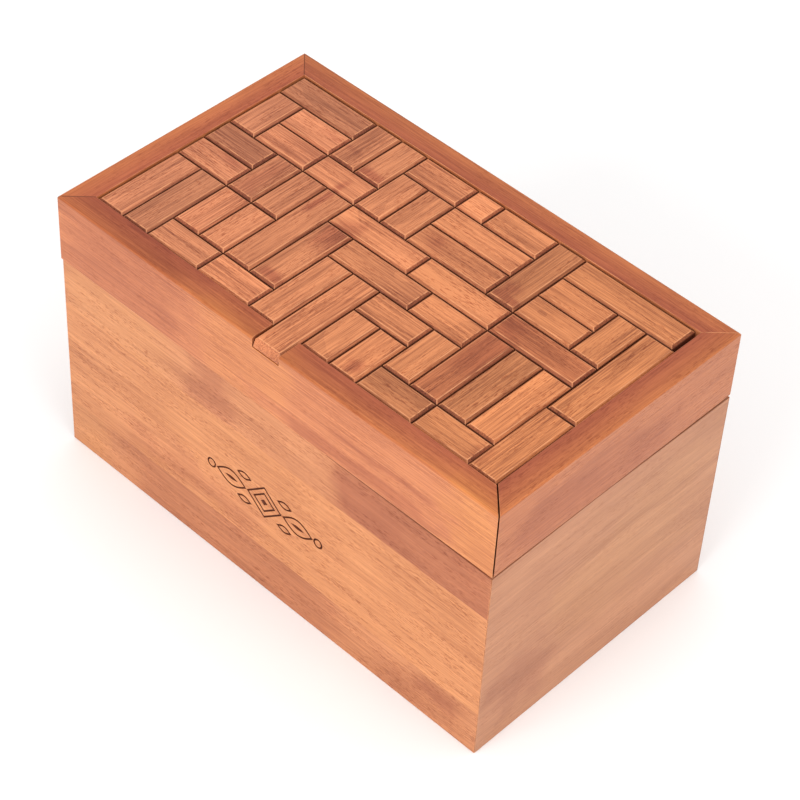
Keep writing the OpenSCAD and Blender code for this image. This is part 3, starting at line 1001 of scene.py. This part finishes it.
class PUZZLEBOX_OT_rails(bpy.types.Operator):
    """Makes the four rails of the lid"""

    bl_idname = "puzzlebox.rails"
    bl_label = "Rails"

    def execute(self, context):
        colours = context.scene.puzzle_box.colours
        seed = context.scene.puzzle_box.sizes.seed
        light, deep = colours.rail_light, colours.rail_deep
        front = beech(context, "Front rail beech", light, deep,
                      figure=0.4, swirl=0.2, flecks=0.5, wear_and_highlight=0.35, patches=FRONT_RAIL_PATCHES, axes="xz")
        ends = beech(context, "End rail beech", light, deep,
                     figure=0.2, swirl=0.2, flecks=0.7, fibres=0.8, wear_and_highlight=0.35,
                     patches=END_RAIL_PATCHES, axes="yz")
        rear = beech(context, "Rear rail beech", light, deep,
                     figure=0.6, swirl=0.3, flecks=0.5, wear_and_highlight=0.7)
        # The number after each shade is how light the rail's top is painted, as painted shade
        make_rail(context, "lid_front_rail", "rail_front", 0, seed + 60, (1.05, 0.15), 1.04, front)
        make_rail(context, "lid_rear_rail", "rail_rear", 0, seed + 61, (1.0, 0.2), 1.0, rear)
        make_rail(context, "lid_left_rail", "rail_left", 1, seed + 62, (1.05, 0.4), 1.14, ends)
        make_rail(context, "lid_right_rail", "rail_right", 1, seed + 63, (0.96, 0.1), 1.0, ends)
        return {"FINISHED"}


# ---- Mosaic ----


def block_name(faces):
    """A block's row letter and column number, counted from the back left corner."""
    points = [v.co for f in faces for v in f.verts]
    column = round((min(p.x for p in points) - GRID_X) / CELL)
    row = round((GRID_Y - max(p.y for p in points)) / CELL)
    return f"{'abcdefgh'[row]}{column + 1:02d}"


def settle_block(faces, label, sizes, dice):
    """Moves and turns a block as little as its gaps allow."""
    points = list({v for f in faces for v in f.verts})
    middle = sum((p.co for p in points), Vector()) / len(points)
    slide = Vector(BLOCK_SHIFTS.get(label, (0, 0))) * MM
    turn = Matrix.Rotation(math.radians(dice.uniform(-0.12, 0.12)), 3, "Z")
    tilt = Matrix.Rotation(math.radians(dice.uniform(-0.15, 0.15)), 3, "X")
    tilt @= Matrix.Rotation(math.radians(dice.uniform(-0.15, 0.15)), 3, "Y")
    drop = dice.uniform(0, sizes.unevenness)
    for point in points:
        place = turn @ (tilt @ (point.co - middle)) + middle
        point.co = place + Vector((slide.x, slide.y, -drop))


def make_blocks(context, node, material):
    """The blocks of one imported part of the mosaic, each with its own wood and tone."""
    sizes = context.scene.puzzle_box.sizes
    shape = part_shape(node)
    layers_first(shape)
    soften(shape, sizes.block_edge)
    shade_block_sides(shape, node)
    for faces in islands(shape):
        label = "k07" if node == "key_block" else block_name(faces)
        dice = random.Random(f"{sizes.seed} {label}")
        lay_block(shape, faces, label, dice)
        if node == "key_block":
            pale_front(shape, node)
        else:
            settle_block(faces, label, sizes, dice)
    name = node.replace("blocks_", "mosaic_").replace("block_", "mosaic_")
    name = "key" if node == "key_block" else name
    return piece_from(shape, name, node, material)


def shade_block_sides(shape, node):
    """Paints shade on the upright sides, in the gaps between the blocks, but not on the key's front end.
    """
    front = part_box(node)[0].y + KEY_END

    def upright(face):
        key_front = node == "key_block" and face.calc_center_median().y < front
        return abs(face.normal.z) < 0.62 and not key_front

    darken_faces(shape, 0.95, upright)


def pale_front(shape, node):
    """Rubs the key's front end pale, with a line of painted shade where it meets its notch."""
    end = shape.faces.layers.float["end"]
    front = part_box(node)[0].y + KEY_END
    for face in shape.faces:
        if face.calc_center_median().y < front:
            face[end] *= 0.2

    # Painted shade in the gap round the key's front end
    def at_notch(face):
        low_or_side = face.normal.z < -0.2 or abs(face.normal.x) > 0.3
        return low_or_side and face.calc_center_median().y < front

    darken_faces(shape, 0.9, at_notch, edges_only=True)


def lay_block(shape, faces, label, dice):
    """Lays the wood of one block along its longer side, in its tone."""
    points = [v.co for f in faces for v in f.verts]
    length_x = max(p.x for p in points) - min(p.x for p in points)
    length_y = max(p.y for p in points) - min(p.y for p in points)
    along = 0 if length_x >= length_y - 0.1 * MM else 1
    tone = next((t for t, names in BLOCK_TONE_LISTS.items() if label in names.split()), "even")
    middle_x = (max(p.x for p in points) + min(p.x for p in points)) / 2
    orange = 0.45 - 0.45 * middle_x / GRID_X
    red = 0.35 if tone == "red" else 0.0
    light = BLOCK_TONES[tone] * dice.uniform(0.95, 1.05)
    # The last number darkens the chamfers: stain with painted shade at the gaps.
    lay_wood(shape, faces, along, 2, dice.random(), (light, orange, red), 0.22)


class PUZZLEBOX_OT_mosaic(bpy.types.Operator):
    """Makes the blocks of the mosaic and the key block"""

    bl_idname = "puzzlebox.mosaic"
    bl_label = "Mosaic blocks"

    def execute(self, context):
        colours = context.scene.puzzle_box.colours
        wood = beech(context, "Mosaic beech", colours.block_light, colours.block_deep,
                     figure=0.6, swirl=0.5, flecks=1.0, wear_and_highlight=0.6, end=1.4, fibres=1.2,
                     patches=MOSAIC_PATCHES, axes="xy")
        blocks = [n for n in sorted(frame["nodes"]) if n.startswith("block")]
        for node in blocks + ["key_block"]:
            make_blocks(context, node, wood)
        return {"FINISHED"}


# ---- Latch bars ----


class PUZZLEBOX_OT_latches(bpy.types.Operator):
    """Makes the two latch bars"""

    bl_idname = "puzzlebox.latches"
    bl_label = "Latch bars"

    def execute(self, context):
        colours = context.scene.puzzle_box.colours
        sizes = context.scene.puzzle_box.sizes
        wood = beech(context, "Latch beech", colours.latch_light, colours.latch_deep,
                     figure=0.8, swirl=1.0, flecks=0.8, wear_and_highlight=0.6)
        for number, side in enumerate(("left", "right")):
            shape = part_shape("latch_" + side)
            layers_first(shape)
            soften(shape, sizes.wall_edge)
            lay_wood(shape, shape.faces, 1, 0, sizes.seed + 80 + number, (1.0, 0.3))
            piece_from(shape, "latch_bar_" + side, "latch_" + side, wood)
        return {"FINISHED"}


# ---- Hinges ----


class PUZZLEBOX_OT_hinges(bpy.types.Operator):
    """Makes the hinge leaves and pins"""

    bl_idname = "puzzlebox.hinges"
    bl_label = "Hinges"

    def execute(self, context):
        colours = context.scene.puzzle_box.colours
        sizes = context.scene.puzzle_box.sizes
        tarnish = [c * 0.8 for c in colours.brass]
        brass = metal("Hinge brass", colours.brass, tarnish, 0.4)
        for node in ("hinge_base_leaf_left", "hinge_base_leaf_right",
                     "hinge_lid_leaf_left", "hinge_lid_leaf_right", "hinge_pins"):
            shape = part_shape(node)
            soften(shape, sizes.metal_edge)
            piece_from(shape, node.replace("hinge", "brass"), node, brass)
        return {"FINISHED"}


# ---- Screws ----


def screw_mesh():
    """One countersunk screw, head at the origin and point down."""
    head, shank, length = SCREW_HEAD, 1.08 * MM, SCREW_HIGH.z - SCREW_LOW.z
    core = shank * 0.78
    tip, pitch = 0.12 * MM, 0.8 * MM
    head_edge, neck, plain_end = 0.06 * MM, 0.9 * MM, 2 * MM
    profile = [(0, 0), (head * 0.94, 0), (head, -head_edge), (shank, -neck)]
    depth = 1.3 * MM
    while depth < length - plain_end:
        profile += [(core, -depth), (shank, -depth - pitch / 2)]
        depth += pitch
    profile += [(core, -depth), (tip, -length), (0, -length)]
    shape = bmesh.new()
    points = [shape.verts.new((r, 0, z)) for r, z in profile]
    edges = [shape.edges.new(pair) for pair in zip(points, points[1:])]
    bmesh.ops.spin(
        shape, geom=points + edges, cent=(0, 0, 0), axis=UP, angle=2 * math.pi, steps=32)
    bmesh.ops.remove_doubles(shape, verts=shape.verts, dist=0.005 * MM)
    bmesh.ops.recalc_face_normals(shape, faces=shape.faces)
    mesh = mesh_of("screw", shape)
    cut = cut_from(mesh, cross_cutter(reach=1.25 * MM, half=0.22 * MM, depth=0.55 * MM))
    bpy.data.meshes.remove(mesh)
    return cut


def cross_cutter(reach, half, depth):
    """The cross slot of a screw head, narrower at its floor."""
    corners = []
    for quarter in range(4):
        turn = Matrix.Rotation(quarter * math.pi / 2, 2)
        corners += [turn @ Vector(p) for p in ((half, -half), (reach, -half), (reach, half))]
    shape = bmesh.new()
    top = [shape.verts.new((p.x, p.y, 0.3 * MM)) for p in corners]
    floor = [shape.verts.new((p.x * 0.6, p.y * 0.6, -depth)) for p in corners]
    close_block(shape, top, floor)
    bmesh.ops.recalc_face_normals(shape, faces=shape.faces)
    return shape


def screws_tree():
    """Sets four screws: two beside the middle of each of the two hinges, each turned its own way."""
    tree = bpy.data.node_groups.new("Screws of two hinges", "GeometryNodeTree")
    sockets = tree.interface
    for name, kind in (("Screw", "Geometry"), ("Hinge distance", "Float"), ("Screw distance", "Float"),
                       ("Place", "Vector"), ("Upside down", "Float"), ("Seed", "Int"),
                       ("Steel", "Material")):
        sockets.new_socket(name, in_out="INPUT", socket_type="NodeSocket" + kind)
    sockets.new_socket("Screws", in_out="OUTPUT", socket_type="NodeSocketGeometry")
    nodes = Nodes(tree)
    given = nodes.add("NodeGroupInput").outputs

    def pair(half_distance):
        """Two points, at each side of the middle."""
        back = nodes.math("MULTIPLY", half_distance, -1.0)
        start = nodes.add("ShaderNodeCombineXYZ", {"X": back}).outputs[0]
        step = nodes.add("ShaderNodeCombineXYZ", {"X": nodes.math("MULTIPLY", half_distance, 2.0)})
        line = nodes.add("GeometryNodeMeshLine", {"Count": 2, "Start Location": start})
        tree.links.new(step.outputs[0], line.inputs["Offset"])
        return line.outputs["Mesh"]

    hinges = nodes.add("GeometryNodeInstanceOnPoints", {
        "Points": pair(given["Hinge distance"]), "Instance": pair(given["Screw distance"])})
    points = nodes.add("GeometryNodeRealizeInstances", {"Geometry": hinges.outputs[0]})
    turn = nodes.add("FunctionNodeRandomValue", {2: 0.0, 3: 2 * math.pi}, data_type="FLOAT")
    tree.links.new(given["Seed"], turn.inputs["Seed"])
    turned = nodes.add("ShaderNodeCombineXYZ", {"Z": turn.outputs[1]}).outputs[0]
    placed = nodes.add("GeometryNodeInstanceOnPoints", {
        "Points": points.outputs[0], "Instance": given["Screw"], "Rotation": turned})
    over = nodes.add("ShaderNodeCombineXYZ", {"X": given["Upside down"]}).outputs[0]
    moved = nodes.add("GeometryNodeTransform", {
        "Geometry": placed.outputs[0], "Translation": given["Place"], "Rotation": over})
    solid = nodes.add("GeometryNodeRealizeInstances", {"Geometry": moved.outputs[0]})
    painted = nodes.add("GeometryNodeSetMaterial", {"Geometry": solid.outputs[0]})
    tree.links.new(given["Steel"], painted.inputs["Material"])
    out = nodes.add("NodeGroupOutput")
    tree.links.new(painted.outputs[0], out.inputs["Screws"])
    return tree


def set_screws(mesh, tree, name, node, values):
    """Runs the tree on one screw, and makes the result a plain piece."""
    source = put(name + " source", mesh)
    modifier = source.modifiers.new("screws", "NODES")
    modifier.node_group = tree
    for item in tree.interface.items_tree:
        if item.in_out == "INPUT" and item.name in values:
            modifier[item.identifier] = values[item.name]
    result = modified_mesh(source)
    bpy.data.objects.remove(source)
    shape = bmesh.new()
    shape.from_mesh(result)
    bpy.data.meshes.remove(result)
    return piece_from(shape, name, node, values["Steel"])


class PUZZLEBOX_OT_screws(bpy.types.Operator):
    """Sets the screws of both hinges"""

    bl_idname = "puzzlebox.screws"
    bl_label = "Hinge screws"

    def execute(self, context):
        colours = context.scene.puzzle_box.colours
        seed = context.scene.puzzle_box.sizes.seed
        stain = [c * 0.7 for c in colours.steel]
        steel = metal("Screw steel", colours.steel, stain, 0.6)
        tree = screws_tree()
        mesh = screw_mesh()
        values = {"Hinge distance": HINGE_X, "Screw distance": SCREW_SIDE, "Steel": steel}
        base = dict(values, **{
            "Place": (0, SCREW_Y, SCREW_HIGH.z), "Upside down": 0.0, "Seed": seed})
        lid = dict(values, **{
            "Place": (0, SCREW_Y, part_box("lid_hinge_screws")[0].z),
            "Upside down": math.pi, "Seed": seed + 1})
        set_screws(mesh, tree, "screws_base", "base_hinge_screws", base)
        set_screws(mesh, tree, "screws_lid", "lid_hinge_screws", lid)
        return {"FINISHED"}


# ---- Stage ----


def add_area_light(name, place, aim, size, power):
    """A square soft light that looks at a point."""
    light = bpy.data.lights.new(name, "AREA")
    light.shape = "SQUARE"
    light.size = size
    light.energy = power
    lamp = put(name, light)
    lamp.location = place
    lamp.rotation_mode = "QUATERNION"
    lamp.rotation_quaternion = (Vector(aim) - Vector(place)).to_track_quat("-Z", "Y")


def add_floor(colour):
    """A wide round floor just under the box."""
    shape = bmesh.new()
    bmesh.ops.create_circle(shape, cap_ends=True, radius=6, segments=64)
    mesh = mesh_of("floor", shape)
    mesh.transform(Matrix.Translation((0, 0, -0.1 * MM)))
    material = bpy.data.materials.new("Pale floor")
    material.use_nodes = True
    nodes = Nodes(material.node_tree)
    shader = next(n for n in material.node_tree.nodes if n.type == "BSDF_PRINCIPLED")
    place = nodes.add("ShaderNodeTexCoord").outputs["Object"]
    tint = nodes.noise(place, (3, 3, 3), 3)
    pale = nodes.mix(tint, [c * 0.985 for c in colour], colour)
    material.node_tree.links.new(pale, shader.inputs["Base Color"])
    shader.inputs["Roughness"].default_value = 0.9
    mesh.materials.append(material)
    put("floor", mesh)


def add_camera():
    """The camera, looking down on the front right corner."""
    azimuth, elevation, roll = (math.radians(a) for a in (41.598, 44.885, 3.510))
    aim_height, distance = 62 * MM, 959.0 * MM
    right_shift, up_shift = 4.19 * MM, -5.0 * MM
    back = Vector((
        math.sin(azimuth) * math.cos(elevation),
        -math.cos(azimuth) * math.cos(elevation),
        math.sin(elevation)))
    right = (-back).cross(UP).normalized()
    up = right.cross(-back)
    place = Vector((0, 0, aim_height)) + back * distance + right * right_shift + up * up_shift
    rolled_right = right * math.cos(roll) + up * math.sin(roll)
    rolled_up = up * math.cos(roll) - right * math.sin(roll)
    data = bpy.data.cameras.new("camera")
    data.sensor_width = 36
    data.lens = 116.9
    data.clip_start = 0.05
    camera = put("camera", data)
    turn = Matrix((rolled_right, rolled_up, back)).transposed()
    camera.matrix_world = Matrix.Translation(place) @ turn.to_4x4()
    bpy.context.scene.camera = camera


class PUZZLEBOX_OT_stage(bpy.types.Operator):
    """Makes the floor, the soft lights and the camera"""

    bl_idname = "puzzlebox.stage"
    bl_label = "Stage"

    def execute(self, context):
        stage = context.scene.puzzle_box.stage
        world = bpy.data.worlds.new("surroundings")
        world.use_nodes = True
        background = next(n for n in world.node_tree.nodes if n.type == "BACKGROUND")
        background.inputs["Color"].default_value = (1, 1, 1, 1)
        background.inputs["Strength"].default_value = stage.surroundings
        context.scene.world = world
        context.scene.view_settings.view_transform = "Standard"
        middle = (0, 0, 0.06)
        add_area_light("front light", (0.05, -1.4, 0.7), middle, 1.0, stage.front_light)
        add_area_light("end light", (1.3, -0.2, 0.6), middle, 0.9, stage.end_light)
        add_area_light("top light", (0.1, 0.3, 1.5), middle, 1.2, stage.top_light)
        add_floor(stage.floor)
        add_camera()
        return {"FINISHED"}


# ---- Add-on ----

STEPS = (
    PUZZLEBOX_OT_stage,
    PUZZLEBOX_OT_walls,
    PUZZLEBOX_OT_panels,
    PUZZLEBOX_OT_rails,
    PUZZLEBOX_OT_mosaic,
    PUZZLEBOX_OT_latches,
    PUZZLEBOX_OT_hinges,
    PUZZLEBOX_OT_screws,
)


class PUZZLEBOX_PT_panel(bpy.types.Panel):
    """Lists the steps and the settings of the puzzle box"""

    bl_idname = "PUZZLEBOX_PT_panel"
    bl_label = "Puzzle Box"
    bl_space_type = "VIEW_3D"
    bl_region_type = "UI"
    bl_category = "Puzzle Box"

    def draw(self, context):
        for step in STEPS:
            self.layout.operator(step.bl_idname)
        settings = context.scene.puzzle_box
        for group in (settings.sizes, settings.colours, settings.stage):
            box = self.layout.box()
            for name in group.__annotations__:
                box.prop(group, name)


CLASSES = (
    PuzzleBoxSizes, PuzzleBoxColours, PuzzleBoxStage, PuzzleBoxSettings, *STEPS, PUZZLEBOX_PT_panel)


def register():
    """Registers the classes and the settings."""
    for made in CLASSES:
        bpy.utils.register_class(made)
    bpy.types.Scene.puzzle_box = PointerProperty(type=PuzzleBoxSettings)


def unregister():
    """Removes the settings and the classes."""
    del bpy.types.Scene.puzzle_box
    for made in reversed(CLASSES):
        bpy.utils.unregister_class(made)


def main():
    """Makes the whole puzzle box."""
    register()
    for step in STEPS:
        group, name = step.bl_idname.split(".")
        getattr(getattr(bpy.ops, group), name)()


if __name__ == "__main__":
    main()
